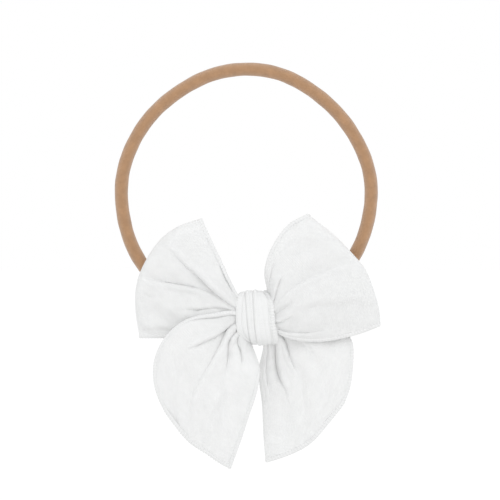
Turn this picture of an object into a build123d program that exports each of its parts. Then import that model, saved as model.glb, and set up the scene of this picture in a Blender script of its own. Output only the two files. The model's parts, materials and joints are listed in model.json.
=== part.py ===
from build123d import *
import os

# Hair bow on a stretch nylon headband, sizes in millimetres.
# X runs across the bow, +Z is up through the band, the bow's front faces -Y.
# The origin is the centre of the flat back face of the centre wrap.

os.makedirs("parts", exist_ok=True)

# Stretch band: a soft tube bent into a ring that passes through the centre wrap
BAND_TUBE_R = 2.65
BAND_Y = -3.6
RING_X = -4.6
RING_Z = 50.8
RING_R = 52.1
BAND_STRAIGHT_HALF = 9.6
BAND_RUNNING_GAP = 0.05
ARC_HANDLE = 0.56
JOINT_THREAD_SIZE = 0.4
JOINT_THREAD_PITCH = 0.8

# Centre wrap: a sleeve with one hole for the band and one for the gathered strip
WRAP_HALF_WIDTH = 8.0
WRAP_DEPTH = 14.2
WRAP_HALF_HEIGHT = 11.2
WRAP_FRONT_FILLET = 4.5
WRAP_BACK_FILLET = 2.2
WRAP_GROOVE_R = 0.45
WRAP_GROOVES_X = (-3.4, -1.7)
WRAP_HEM_SIZE = 0.9

# Gathered waist of the bow strip, and the thread that draws it in
WAIST_BACK_Y = -7.2
WAIST_FRONT_Y = -13.2
WAIST_HALF_HEIGHT = 9.7
WAIST_HALF_WIDTH = 7.5
WAIST_FILLET = 2.6
CINCH_SIZE = 0.5
CINCH_TURNS = 3

# Hand stitches that close the wrap at the back
TACK_COUNT = 5
TACK_PITCH = 2.6
TACK_SIZE = 0.7
TACK_LENGTH = 2.6
TACK_Z = 5.6

# Fabric
SHEET = 0.7
HEM_SIZE = 1.1
HEM_GAP = 0.05

# Loops: a folded strip, closed by a soft fold outside, open at the hemmed edges
LOOP_BACK_Y = -6.7
LOOP_FRONT_Y = -16.0
LOOP_HINGE_Y = -9.9
LOOP_HINGE_R = 3.2
ROLL_INSET = 0.2
LOOP_FOLD_FILLET = 3.8
LOOP_HINGE_X = 12.5
LOOP_FULL_DEPTH_X = 28.0
LOOP_SPLIT_Z = 4.0
LEFT_ROOT_ROLL_Z = (-6.5, 12.0)
RIGHT_ROOT_ROLL_Z = (-7.6, 12.0)
RIGHT_TOP_HEM_END_Z = 14.4
HEM_ROOT_GAP = 0.1

# Tails: single sheets that hang from short root rolls
TAIL_ROLL_R = 1.2
TAIL_ROLL_HALF = 3.0
LEFT_TAIL_Y = -17.4
LEFT_TAIL_UPRIGHT_Z = (6.0, -8.0)
LEFT_TAIL_FOOT = (-11.5, -66.0)
RIGHT_TAIL_Y = -4.0
RIGHT_TAIL_UPRIGHT_Z = (0.0, -16.0)
RIGHT_TAIL_FOOT = (-8.0, -66.0)
LEFT_ROLL = (-14.6, 2.6)
LEFT_ROLL_AXIS = (-0.88, 0.0, 0.48)
RIGHT_ROLL = (8.2, -13.4)
RIGHT_ROLL_AXIS = (0.83, 0.0, 0.55)

# Well outside the bow: the reach of cutting blocks, and the least X of a loop's outer fold
FAR = 90.0
FOLD_LEAST_X = 30.0
LEVEL_TOLERANCE = 0.01


def save(name, shape):
    """Write one piece of the assembly to its own file."""
    export_step(shape, f"parts/{name}.step")


def front_face(outline):
    """A face in the upright XZ plane from edges given as (x, z)."""
    flat = make_face(outline)
    return Plane.XZ * flat


def prism(outline, back_y, front_y):
    """A solid with the given front outline, from back_y forward to front_y."""
    face = front_face(outline)
    return Pos(0, back_y, 0) * extrude(face, back_y - front_y)


def beyond(x_low, x_high, z_low, z_high):
    """A block that keeps one region of the front view, through the full depth."""
    block = Box(x_high - x_low, 2 * FAR, z_high - z_low)
    return Pos((x_low + x_high) / 2, 0, (z_low + z_high) / 2) * block


def tube(path, radius):
    """A round tube along an upright path given in the front view."""
    upright = Pos(0, BAND_Y, 0) * (Plane.XZ * path)
    ring = Plane(origin=upright @ 0, z_dir=upright % 0) * Circle(radius)
    return sweep(ring, path=upright)


# ---- stretch band ----

def quarter(side):
    """The band's rise from the knot to the ring's widest point on one side."""
    root_x = side * BAND_STRAIGHT_HALF
    wide_x = RING_X + side * RING_R
    return Bezier(
        (root_x, 0),
        (root_x + ARC_HANDLE * (wide_x - root_x), 0),
        (wide_x, (1 - ARC_HANDLE) * RING_Z),
        (wide_x, RING_Z),
    )


def band_lower():
    middle = Line((-BAND_STRAIGHT_HALF, 0), (BAND_STRAIGHT_HALF, 0))
    path = quarter(-1) + middle + quarter(1)
    return tube(path, BAND_TUBE_R) - joint_thread_turns()


def band_upper():
    return tube(CenterArc((RING_X, RING_Z), RING_R, 0, 180), BAND_TUBE_R)


def joint_thread_turns():
    """Thread rings sunk into the tube where its two ends are joined."""
    inner_r = BAND_TUBE_R - JOINT_THREAD_SIZE
    turn = Cylinder(BAND_TUBE_R, JOINT_THREAD_SIZE) - Cylinder(inner_r, JOINT_THREAD_SIZE)
    turn = Rot(0, 90, 0) * turn
    turns = [Pos(k * JOINT_THREAD_PITCH, BAND_Y, 0) * turn for k in (-1, 0, 1)]
    return Compound(children=turns)


# ---- knot ----

def wrap_profile():
    """The wrap's outline seen from the side, flat at the back."""
    shape = Rectangle(WRAP_DEPTH, 2 * WRAP_HALF_HEIGHT)
    back = shape.vertices().group_by(Axis.X)[-1]
    shape = fillet(back, WRAP_BACK_FILLET)
    front = shape.vertices().group_by(Axis.X)[0]
    shape = fillet(front, WRAP_FRONT_FILLET)
    return Pos(-WRAP_DEPTH / 2, 0) * shape


def across(profile, x_low, x_high):
    """Extrude a side-view profile (y, z) between two X positions."""
    return Plane.YZ.offset(x_low) * extrude(profile, x_high - x_low)


def waist_profile(grow=0.0):
    depth = WAIST_BACK_Y - WAIST_FRONT_Y
    shape = RectangleRounded(
        depth + 2 * grow, 2 * (WAIST_HALF_HEIGHT + grow), WAIST_FILLET + grow
    )
    return Pos((WAIST_BACK_Y + WAIST_FRONT_Y) / 2, 0) * shape


def centre_wrap():
    body = across(wrap_profile(), -WRAP_HALF_WIDTH, WRAP_HALF_WIDTH)
    body -= across(waist_profile(), -WRAP_HALF_WIDTH - 1, WRAP_HALF_WIDTH + 1)
    hole = Rot(0, 90, 0) * Cylinder(BAND_TUBE_R + BAND_RUNNING_GAP, 4 * WRAP_HALF_WIDTH)
    body -= Pos(0, BAND_Y, 0) * hole
    for x in WRAP_GROOVES_X:
        body -= Pos(x, -WRAP_DEPTH, 0) * Cylinder(WRAP_GROOVE_R, 4 * WRAP_HALF_HEIGHT)
    return body - tack_stitches()


def wrap_hem(side):
    """The folded edge of the wrap, a square-section ring on one side."""
    low = WRAP_HALF_WIDTH if side > 0 else -WRAP_HALF_WIDTH - WRAP_HEM_SIZE
    ring = wrap_profile() - offset(wrap_profile(), -WRAP_HEM_SIZE)
    return across(ring, low, low + WRAP_HEM_SIZE)


def gathered_waist():
    body = across(waist_profile(), -WAIST_HALF_WIDTH, WAIST_HALF_WIDTH)
    return body - cinch_thread()


def cinch_thread():
    """Turns of thread sunk flush into the gathered strip."""
    ring = waist_profile() - offset(waist_profile(), -CINCH_SIZE)
    turns = []
    for k in range(CINCH_TURNS):
        low = (k - (CINCH_TURNS - 1) / 2) * 2 * CINCH_SIZE - CINCH_SIZE / 2
        turns.append(across(ring, low, low + CINCH_SIZE))
    return Compound(children=turns)


def tack_stitches():
    """Short upright stitches sunk level with the wrap's back face."""
    stitches = []
    for k in range(TACK_COUNT):
        x = (k - (TACK_COUNT - 1) / 2) * TACK_PITCH
        stitches.append(Pos(x, -TACK_SIZE / 2, TACK_Z) * Box(TACK_SIZE, TACK_SIZE, TACK_LENGTH))
    return Compound(children=stitches)


# ---- loops ----

def left_fold():
    """The soft outer fold of the left loop, from its top corner to its bottom one."""
    shoulder = ThreePointArc((-22.8, 41.5), (-36.5, 35.3), (-46.1, 23.2))
    return shoulder + TangentArc(shoulder @ 1, (-49.0, -8.7), tangent=shoulder % 1)


def left_loop_outline():
    top_root = (-LOOP_HINGE_X, 19.5)
    bottom_root = (-LOOP_HINGE_X, -6.5)
    fold = left_fold()
    return fold + Polyline(fold @ 1, bottom_root, top_root, fold @ 0)


def left_loop_extended():
    """The left loop's outline carried on past both hemmed edges."""
    fold = left_fold()
    past_top = fold @ 0 - (fold % 0) * 3
    past_bottom = fold @ 1 + (fold % 1) * 3
    close = Polyline(
        fold @ 1, past_bottom, (-8.0, -12.0), (-8.0, 22.0), past_top, fold @ 0
    )
    return fold + close


def right_fold():
    """The soft outer fold of the right loop, from its top corner to its bottom one."""
    shoulder = ThreePointArc((20.8, 43.4), (34.6, 33.2), (45.2, 19.9))
    return shoulder + TangentArc(shoulder @ 1, (51.5, -3.7), tangent=shoulder % 1)


def right_loop_outline():
    fold = right_fold()
    bottom = ThreePointArc(fold @ 1, (33.0, -9.3), (LOOP_HINGE_X, -8.8))
    root = Polyline(bottom @ 1, (LOOP_HINGE_X, 13.2), (3.8, 13.2))
    top = ThreePointArc((3.8, 13.2), (6.0, 29.5), fold @ 0)
    return fold + bottom + root + top


def right_loop_extended():
    """The right loop's outline carried on past both hemmed edges."""
    fold = right_fold()
    past_top = fold @ 0 - (fold % 0) * 3
    past_bottom = fold @ 1 + (fold % 1) * 9
    close = Polyline(
        fold @ 1, past_bottom, (24.0, -16.0), (6.0, -14.0), (-2.0, 12.0),
        (2.0, 32.0), (11.0, 44.0), past_top, fold @ 0,
    )
    return fold + close


def pillow(extended, side, inset):
    """The loop's filled volume, with the outer fold rounded, set in by inset."""
    face = front_face(extended)
    if inset > 0:
        face = offset(face, -inset)
    back_y = LOOP_BACK_Y - inset
    front_y = LOOP_FRONT_Y + inset
    body = Pos(0, back_y, 0) * extrude(face, back_y - front_y)
    rim = [e for e in body.edges() if fold_edge(e, side)]
    body = fillet(rim, LOOP_FOLD_FILLET - inset)
    root_front = LOOP_HINGE_Y - LOOP_HINGE_R + inset
    wedge = Polyline(
        (0, back_y), (side * FAR, back_y), (side * FAR, front_y),
        (side * LOOP_FULL_DEPTH_X, front_y), (side * LOOP_HINGE_X, root_front),
        (0, root_front), close=True,
    )
    return body & (Pos(0, 0, -FAR) * extrude(make_face(wedge), 2 * FAR))


def fold_edge(edge, side):
    """True for the long curved edges of the outer fold, front and back."""
    is_level = abs((edge @ 0).Y - (edge @ 1).Y) < LEVEL_TOLERANCE
    return is_level and edge.geom_type != GeomType.LINE and side * edge.center().X > FOLD_LEAST_X


def folded_shell(extended, side, wall):
    return pillow(extended, side, 0) - pillow(extended, side, wall)


def loop_body(outline, extended, side, root_z):
    """The two fabric layers of a loop, and the gathered roll at its root."""
    root_low, root_high = root_z
    shell = folded_shell(extended, side, SHEET)
    shell &= prism(outline, FAR, -FAR)
    roll = Cylinder(LOOP_HINGE_R - ROLL_INSET, root_high - root_low)
    roll = Pos(side * LOOP_HINGE_X, LOOP_HINGE_Y, (root_low + root_high) / 2) * roll
    return shell + roll


def loop_hems(outline, extended, side):
    """The rolled hems along a loop's two open edges, as one body."""
    shell = folded_shell(extended, side, HEM_SIZE)
    face = front_face(outline)
    ring = offset(face, HEM_GAP + HEM_SIZE) - offset(face, HEM_GAP)
    ring = Pos(0, FAR, 0) * extrude(ring, 2 * FAR)
    return shell & ring


def left_loop():
    return loop_body(left_loop_outline(), left_loop_extended(), -1, LEFT_ROOT_ROLL_Z)


def left_loop_hem(upper):
    hems = loop_hems(left_loop_outline(), left_loop_extended(), -1)
    z_low, z_high = (LOOP_SPLIT_Z, FAR) if upper else (-FAR, LOOP_SPLIT_Z)
    x_high = -LOOP_HINGE_X if upper else -LOOP_HINGE_X - LOOP_HINGE_R - HEM_ROOT_GAP
    return hems & beyond(-FAR, x_high, z_low, z_high)


def right_loop():
    return loop_body(right_loop_outline(), right_loop_extended(), 1, RIGHT_ROOT_ROLL_Z)


def right_loop_hem(upper):
    hems = loop_hems(right_loop_outline(), right_loop_extended(), 1)
    if upper:
        return hems & beyond(-FAR, FAR, RIGHT_TOP_HEM_END_Z, FAR)
    return hems & beyond(LOOP_HINGE_X + LOOP_HINGE_R + HEM_ROOT_GAP, FAR, -FAR, LOOP_SPLIT_Z)


# ---- tails ----

def left_tail_outline():
    top = ThreePointArc((-11.6, 2.9), (-23.7, 1.7), (-36.5, -5.4))
    side = TangentArc(top @ 1, (-41.1, -33.2), tangent=top % 1)
    cut = ThreePointArc(side @ 1, (-28.8, -51.0), (-10.8, -62.7))
    inner = ThreePointArc(cut @ 1, (-2.9, -39.8), (0.6, -21.6))
    neck = ThreePointArc(inner @ 1, (-0.6, -16.8), (-3.4, -13.4))
    root = Polyline(neck @ 1, (-10.4, -12.2), (-11.6, -8.0), top @ 0)
    return top + side + cut + inner + neck + root


def right_tail_outline():
    top = Line((14.4, -9.3), (40.7, -7.9))
    side = ThreePointArc(top @ 1, (40.0, -23.0), (36.1, -36.5))
    cut = ThreePointArc(side @ 1, (22.5, -51.4), (3.3, -60.6))
    inner = ThreePointArc(cut @ 1, (1.9, -40.0), (0.4, -24.9))
    root = Polyline(inner @ 1, (2.4, -17.3), top @ 0)
    return top + side + cut + inner + root


def draped_sheet(curve, thickness):
    """A sheet of the given thickness that follows a side-view curve (y, z)."""
    strip = trace(curve, thickness)
    return Pos(-FAR, 0, 0) * extrude(Plane.YZ * strip, 2 * FAR)


def drape(y, upright_z, foot):
    """Side view of a tail: upright at the root, then curved to its foot, given as (y, z)."""
    top_z, bend_z = upright_z
    upright = Line((y, top_z), (y, bend_z))
    return upright + TangentArc(upright @ 1, foot, tangent=(0, -1))


def left_drape():
    """The left tail hangs over the loop, then sweeps back."""
    return drape(LEFT_TAIL_Y, LEFT_TAIL_UPRIGHT_Z, LEFT_TAIL_FOOT)


def right_drape():
    """The right tail hangs behind the right loop, then sweeps forward."""
    return drape(RIGHT_TAIL_Y, RIGHT_TAIL_UPRIGHT_Z, RIGHT_TAIL_FOOT)


def tail_body(outline, drape, roll_at, roll_axis, roll_y):
    """One hanging fabric sheet with the gathered roll at its root."""
    sheet = draped_sheet(drape, SHEET) & prism(outline, FAR, -FAR)
    roll = Cylinder(TAIL_ROLL_R, 2 * TAIL_ROLL_HALF)
    seat = Plane(origin=(roll_at[0], roll_y, roll_at[1]), z_dir=roll_axis)
    return sheet + seat * roll


def tail_hem(outline, drape, keep):
    """The rolled hem along a tail's free edge, kept inside one region."""
    face = front_face(outline)
    ring = offset(face, HEM_GAP + HEM_SIZE) - offset(face, HEM_GAP)
    ring = Pos(0, FAR, 0) * extrude(ring, 2 * FAR)
    return draped_sheet(drape, HEM_SIZE) & ring & keep


def left_tail():
    return tail_body(left_tail_outline(), left_drape(), LEFT_ROLL, LEFT_ROLL_AXIS, LEFT_TAIL_Y)


def right_tail():
    return tail_body(right_tail_outline(), right_drape(), RIGHT_ROLL, RIGHT_ROLL_AXIS, RIGHT_TAIL_Y)


def region(*corners):
    """A deep block over a polygon of the front view, given as (x, z)."""
    return prism(Polyline(*corners, close=True), FAR, -FAR)


def left_tail_outer_region():
    return region((-18.4, 10), (-60, 10), (-60, -70), (-10.8, -70), (-10.8, -62.7), (-18.4, -20))


def left_tail_inner_region():
    return region((-10.6, -60), (-10.6, -70), (10, -70), (10, -14.6), (-6, -14.6))


def right_tail_outer_region():
    return region((13, -6), (60, -6), (60, -70), (3.9, -70), (3.9, -60), (16, -20))


def right_tail_inner_region():
    return region((3.7, -70), (-10, -70), (-10, -18.6), (3.7, -18.6))


save("nylon_band_lower", band_lower())
save("nylon_band_upper", band_upper())
save("band_joint_thread", joint_thread_turns())
save("centre_wrap", centre_wrap())
save("wrap_left_hem", wrap_hem(-1))
save("wrap_right_hem", wrap_hem(1))
save("gathered_waist", gathered_waist())
save("cinch_thread", cinch_thread())
save("wrap_tack_stitches", tack_stitches())
save("left_loop", left_loop())
save("left_loop_top_hem", left_loop_hem(True))
save("left_loop_bottom_hem", left_loop_hem(False))
save("right_loop", right_loop())
save("right_loop_top_hem", right_loop_hem(True))
save("right_loop_bottom_hem", right_loop_hem(False))
save("left_tail", left_tail())
save("left_tail_outer_hem", tail_hem(left_tail_outline(), left_drape(), left_tail_outer_region()))
save("left_tail_inner_hem", tail_hem(left_tail_outline(), left_drape(), left_tail_inner_region()))
save("right_tail", right_tail())
save("right_tail_outer_hem", tail_hem(right_tail_outline(), right_drape(), right_tail_outer_region()))
save("right_tail_inner_hem", tail_hem(right_tail_outline(), right_drape(), right_tail_inner_region()))
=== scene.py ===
import json
import math

import bmesh
import bpy
import numpy as np
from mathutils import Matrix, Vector


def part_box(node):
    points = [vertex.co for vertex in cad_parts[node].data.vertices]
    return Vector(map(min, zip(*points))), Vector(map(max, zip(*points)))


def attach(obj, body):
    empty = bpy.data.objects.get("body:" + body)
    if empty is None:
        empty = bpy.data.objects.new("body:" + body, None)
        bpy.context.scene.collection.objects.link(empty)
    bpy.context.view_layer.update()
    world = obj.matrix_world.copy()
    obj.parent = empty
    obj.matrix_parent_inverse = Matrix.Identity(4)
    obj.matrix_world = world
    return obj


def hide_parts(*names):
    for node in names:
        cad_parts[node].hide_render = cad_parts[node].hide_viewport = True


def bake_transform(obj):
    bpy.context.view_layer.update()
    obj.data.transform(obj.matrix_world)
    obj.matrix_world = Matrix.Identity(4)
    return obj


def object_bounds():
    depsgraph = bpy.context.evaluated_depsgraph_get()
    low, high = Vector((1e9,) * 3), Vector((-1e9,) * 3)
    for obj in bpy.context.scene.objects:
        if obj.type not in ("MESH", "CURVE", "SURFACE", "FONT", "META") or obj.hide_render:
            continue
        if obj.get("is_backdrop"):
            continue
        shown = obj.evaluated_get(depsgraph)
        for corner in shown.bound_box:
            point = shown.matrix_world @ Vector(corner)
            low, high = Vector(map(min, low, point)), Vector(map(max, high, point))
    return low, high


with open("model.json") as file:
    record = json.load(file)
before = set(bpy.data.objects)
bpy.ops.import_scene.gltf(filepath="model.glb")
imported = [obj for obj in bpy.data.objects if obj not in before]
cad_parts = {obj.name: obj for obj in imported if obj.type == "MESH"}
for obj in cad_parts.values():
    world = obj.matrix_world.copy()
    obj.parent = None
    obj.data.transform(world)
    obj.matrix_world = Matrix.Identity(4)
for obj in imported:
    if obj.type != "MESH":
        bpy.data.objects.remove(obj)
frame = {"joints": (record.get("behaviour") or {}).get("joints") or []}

# White hair bow on a stretch nylon band. All shape code works in millimetres in
# the CAD frame: X across the bow, Z up, the bow's front towards -Y.

MM = 0.001
CAD_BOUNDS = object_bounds()

# How far the cloth's outlines lie inside the CAD boxes, and the thickness of the cloth.
EDGE_INSET = 0.6
CLOTH_THICK = 0.42
TUCK_THICK = 0.3
WRAP_THICK = 0.45


# ---------------------------------------------------------------- measuring

def box_mm(node):
    low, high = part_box(node)
    return np.array(low) / MM, np.array(high) / MM


def in_box(node, points):
    """Front-view points given as fractions (across, up) of a CAD piece's box, drawn in for the hem."""
    low, high = box_mm(node)
    low, high = low + EDGE_INSET, high - EDGE_INSET
    pts = np.array(points, float)
    x = low[0] + pts[:, 0] * (high[0] - low[0])
    z = low[2] + pts[:, 1] * (high[2] - low[2])
    return np.stack([x, z], axis=1)


def joint_mm(name):
    joint = next(j for j in frame["joints"] if j["name"] == name)
    return np.array(joint["pos_m"]) / MM


# ---------------------------------------------------------------- curves

def even(samples, count):
    """The same polyline with evenly spaced points."""
    gap = np.linalg.norm(np.diff(samples, axis=0), axis=1)
    run = np.concatenate([[0.0], np.cumsum(gap)])
    steps = np.linspace(0.0, run[-1], count)
    return np.stack([np.interp(steps, run, samples[:, k]) for k in range(samples.shape[1])], 1)


def spline(points, count=400):
    """A smooth curve through the points, as evenly spaced samples."""
    pts = np.array(points, float)
    n = len(pts)
    knots = np.concatenate([[0.0], np.cumsum(np.linalg.norm(np.diff(pts, axis=0), axis=1))])
    h = np.diff(knots)
    left = np.eye(n)
    right = np.zeros_like(pts)
    for i in range(1, n - 1):
        left[i, i - 1 : i + 2] = h[i - 1], 2 * (h[i - 1] + h[i]), h[i]
        right[i] = 6 * ((pts[i + 1] - pts[i]) / h[i] - (pts[i] - pts[i - 1]) / h[i - 1])
    bend = np.linalg.solve(left, right)
    t = np.linspace(0.0, knots[-1], 1500)
    i = np.clip(np.searchsorted(knots, t, "right") - 1, 0, n - 2)
    a = ((knots[i + 1] - t) / h[i])[:, None]
    b = ((t - knots[i]) / h[i])[:, None]
    step = (h[i] ** 2 / 6)[:, None]
    curve = a * pts[i] + b * pts[i + 1]
    curve += step * ((a**3 - a) * bend[i] + (b**3 - b) * bend[i + 1])
    return even(curve, count)


def at(curve, t):
    """Points of an evenly sampled curve at fractions t."""
    where = np.linspace(0.0, 1.0, len(curve))
    return np.stack([np.interp(t, where, curve[:, k]) for k in range(curve.shape[1])], -1)


def smoothstep(x):
    x = np.clip(x, 0.0, 1.0)
    return x * x * (3 - 2 * x)


def periodic(values, t):
    """A smooth closed curve of numbers, read at fractions t of one turn."""
    n = len(values)
    terms = np.fft.rfft(np.array(values, float)) / n
    out = np.full_like(np.asarray(t, float), terms[0].real)
    for k in range(1, len(terms)):
        scale = 1.0 if (n % 2 == 0 and k == n // 2) else 2.0
        phase = 2 * np.pi * k * t
        out += scale * (terms[k].real * np.cos(phase) - terms[k].imag * np.sin(phase))
    return out


def wrinkles(along, across, size, stretch, seed, waves=18):
    """A smooth random height field, about -1 to 1, whose features are stretched along the cloth."""
    rng = np.random.RandomState(seed)
    out = np.zeros_like(along)
    for _ in range(waves):
        turn = rng.uniform(0, 2 * np.pi)
        rate = 2 * np.pi / (size * rng.uniform(0.7, 1.7))
        start = rng.uniform(0, 2 * np.pi)
        out += np.sin(rate * (along * math.cos(turn) / stretch + across * math.sin(turn)) + start)
    return out / math.sqrt(waves)


# ---------------------------------------------------------------- meshes

def object_from(name, mesh):
    """A smooth-shaded object whose faces all look outwards."""
    work = bmesh.new()
    work.from_mesh(mesh)
    bmesh.ops.recalc_face_normals(work, faces=work.faces)
    work.to_mesh(mesh)
    work.free()
    mesh.polygons.foreach_set("use_smooth", [True] * len(mesh.polygons))
    obj = bpy.data.objects.new(name, mesh)
    bpy.context.scene.collection.objects.link(obj)
    return obj


def surface(name, pos, uv, wrap_u=False, wrap_v=False):
    """A grid of points (rows, columns, 3) in millimetres as a mesh with a UV map in millimetres.

    A direction that wraps round has one more row or column of UV places than of points."""
    rows, cols = pos.shape[:2]
    i = np.arange(rows if wrap_u else rows - 1)[:, None]
    j = np.arange(cols if wrap_v else cols - 1)[None, :]
    corners = ((0, 0), (1, 0), (1, 1), (0, 1))
    faces = np.stack([(i + di) % rows * cols + (j + dj) % cols for di, dj in corners], -1)
    places = np.stack([uv[i + di, j + dj] for di, dj in corners], -2)
    mesh = bpy.data.meshes.new(name)
    mesh.from_pydata((pos.reshape(-1, 3) * MM).tolist(), [], faces.reshape(-1, 4).tolist())
    mesh.uv_layers.new(name="fabric").data.foreach_set("uv", places.astype(float).reshape(-1))
    return object_from(name, mesh)


def thicken(obj, thickness):
    """Give a sheet its cloth thickness, applied."""
    mod = obj.modifiers.new("cloth", "SOLIDIFY")
    mod.thickness = thickness * MM
    mod.offset = 0.0
    apply_modifiers(obj)
    return obj


def apply_modifiers(obj):
    graph = bpy.context.evaluated_depsgraph_get()
    mesh = bpy.data.meshes.new_from_object(obj.evaluated_get(graph))
    obj.modifiers.clear()
    obj.data = mesh
    mesh.polygons.foreach_set("use_smooth", [True] * len(mesh.polygons))


def join(name, objects):
    """Several meshes as one object."""
    verts, faces, uvs = [], [], []
    base = 0
    for o in objects:
        me = o.data
        co = np.zeros(len(me.vertices) * 3)
        me.vertices.foreach_get("co", co)
        verts += co.reshape(-1, 3).tolist()
        faces += [tuple(v + base for v in p.vertices) for p in me.polygons]
        uv = np.zeros(len(me.loops) * 2)
        me.uv_layers[0].data.foreach_get("uv", uv)
        uvs.append(uv)
        base += len(me.vertices)
        bpy.data.objects.remove(o)
    mesh = bpy.data.meshes.new(name)
    mesh.from_pydata(verts, [], faces)
    mesh.uv_layers.new(name="fabric").data.foreach_set("uv", np.concatenate(uvs))
    return object_from(name, mesh)


def normalised(v):
    return v / np.maximum(np.linalg.norm(v, axis=-1, keepdims=True), 1e-9)


def tangents(path):
    return normalised(np.gradient(path, axis=0))


def sweep(name, path, side, up, radius_side, radius_up, ring, closed=False):
    """A tube with an elliptic section; side and up are unit vectors for each path point.

    Open ends are closed with a fan of faces."""
    turn = np.linspace(0, 2 * np.pi, ring, endpoint=False)
    rs = np.broadcast_to(np.asarray(radius_side, float), (len(path),))[:, None, None]
    ru = np.broadcast_to(np.asarray(radius_up, float), (len(path),))[:, None, None]
    pos = path[:, None, :] + rs * np.cos(turn)[None, :, None] * side[:, None, :]
    pos = pos + ru * np.sin(turn)[None, :, None] * up[:, None, :]
    run = np.concatenate([[0.0], np.cumsum(np.linalg.norm(np.diff(path, axis=0), axis=1))])
    around = np.linspace(0, 2 * np.pi * float(np.mean(ru)), ring + 1)
    uv = np.stack(np.meshgrid(np.append(run, run[-1]), around, indexing="ij"), -1)
    if not closed:
        first, last = (path[k][None, None].repeat(ring, 1) for k in (0, -1))
        pos = np.concatenate([first, pos, last], 0)
        uv = np.concatenate([uv[:1], uv, uv[-1:]], 0)
    return surface(name, pos, uv, wrap_u=closed, wrap_v=True)


def frames_from(path, inward):
    """Unit side (inward, across the path) and up (normal) vectors along a path."""
    ahead = tangents(path)
    side = normalised(inward - (inward * ahead).sum(-1, keepdims=True) * ahead)
    up = normalised(np.cross(ahead, side))
    return side, up


# ---------------------------------------------------------------- lobes of the bow

def coons(low, high, root, rim, u, v):
    """Front-view points of a four-sided patch; u runs from root to rim, v from low to high edge."""
    uu, vv = u[..., None], v[..., None]
    out = (1 - vv) * at(low, u) + vv * at(high, u)
    out += (1 - uu) * at(root, v) + uu * at(rim, v)
    out -= (1 - uu) * (1 - vv) * low[0] + uu * (1 - vv) * low[-1]
    out -= (1 - uu) * vv * high[0] + uu * vv * high[-1]
    return out


def fold(u, v, span, course, depth, crisp, gentle, lean):
    """One fold that runs out from the knot: how far it sinks and how far it is pulled sideways.

    course lists (u, v, strength) along the valley. The cloth on the lean side (1 is the high
    side) laps over the valley with a crisp lip, the other side climbs back gently."""
    marks = np.array(course, float)
    line = spline(marks[:, :2], 120)
    valley_v = np.interp(u, line[:, 0], line[:, 1])
    strength = depth * np.interp(u, marks[:, 0], marks[:, 2])
    grow = 0.55 + 0.8 * u
    off = lean * (v - valley_v) * span
    near = crisp * grow
    steep_side = (np.maximum(off, 0) / near) ** 2
    gentle_side = (np.maximum(-off, 0) / (gentle * grow)) ** 1.2
    valley = np.exp(-steep_side - gentle_side)
    lip = 0.42 * np.exp(-(((off - 1.9 * near) / (1.6 * near)) ** 2))
    pull = 0.55 * np.exp(-(((off - 0.9 * near) / (1.1 * near)) ** 2))
    return strength * (valley - lip), -lean * strength * pull


def gathers(u, v, span, length, count, height, reach, seed):
    """Small uneven pleats that leave the knot and soon flatten."""
    rng = np.random.RandomState(seed)
    warp = v + 0.03 * np.sin(2 * np.pi * (1.3 * v + rng.uniform())) + 0.02 * np.sin(2 * np.pi * 3.1 * v)
    sink = np.zeros_like(u)
    for k in range(count):
        centre = (k + 0.5 + rng.uniform(-0.22, 0.22)) / count
        far = reach * rng.uniform(0.5, 1.5)
        strength = height * rng.uniform(0.6, 1.2)
        off = np.abs(warp - centre) * span
        wide = 0.55 + 0.05 * u * length
        fade = np.exp(-((u * length / far) ** 1.5))
        valley = np.exp(-((off / wide) ** 1.5))
        ridge = 0.5 * np.exp(-(((off - 2 * wide) / (1.3 * wide)) ** 2))
        sink += strength * fade * (valley - ridge)
    return sink


# Heights of the wrinkles that are strewn over all the cloth.
WRINKLE_LONG = 0.34
WRINKLE_SHORT = 0.12
WRINKLE_FINE = 0.03


def relief(patch_xz, u, v, folds, puffs, gather, seed):
    """Sinking depth and sideways shift of one cloth layer, in millimetres.

    puffs lists broad swellings (v at their middle, half width in v, height), and gather is the small
    pleats' count, height and reach."""
    across = np.gradient(patch_xz, axis=1)
    span = np.linalg.norm(across, axis=-1).sum(1, keepdims=True)
    along = np.gradient(patch_xz, axis=0)
    length = float(np.linalg.norm(along, axis=-1).sum(0).mean())
    sink = np.zeros_like(u)
    shift = np.zeros_like(u)
    for one in folds:
        down, pulled = fold(u, v, span, *one)
        sink += down
        shift += pulled
    for middle, half_width, height in puffs:
        rise = smoothstep(u / 0.35) * (1 - smoothstep((u - 0.55) / 0.45))
        sink -= height * rise * np.exp(-(((v - middle) / half_width) ** 2))
    sink += gathers(u, v, span, length, *gather, seed)
    run, wide = u * length, (v - 0.5) * span
    free = smoothstep(u / 0.3)
    sink += WRINKLE_LONG * free * wrinkles(run, wide, 13.0, 2.4, seed + 1)
    sink += WRINKLE_SHORT * free * wrinkles(run, wide, 6.0, 1.5, seed + 2)
    sink += WRINKLE_FINE * wrinkles(run, wide, 2.4, 1.2, seed + 3)
    return sink, shift, normalised(across)


# Sizes of both loops: length, how long the rounding at the far fold is, half the depth where the loop
# is full and at its root, and the share by which the back layer is drawn in.
LOOP_LENGTH = 42.0
LOOP_NOSE = 5.0
LOOP_HALF_DEPTH = 4.0
ROOT_HALF_DEPTH = 1.6
BACK_LAYER_INSET = 0.05


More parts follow.
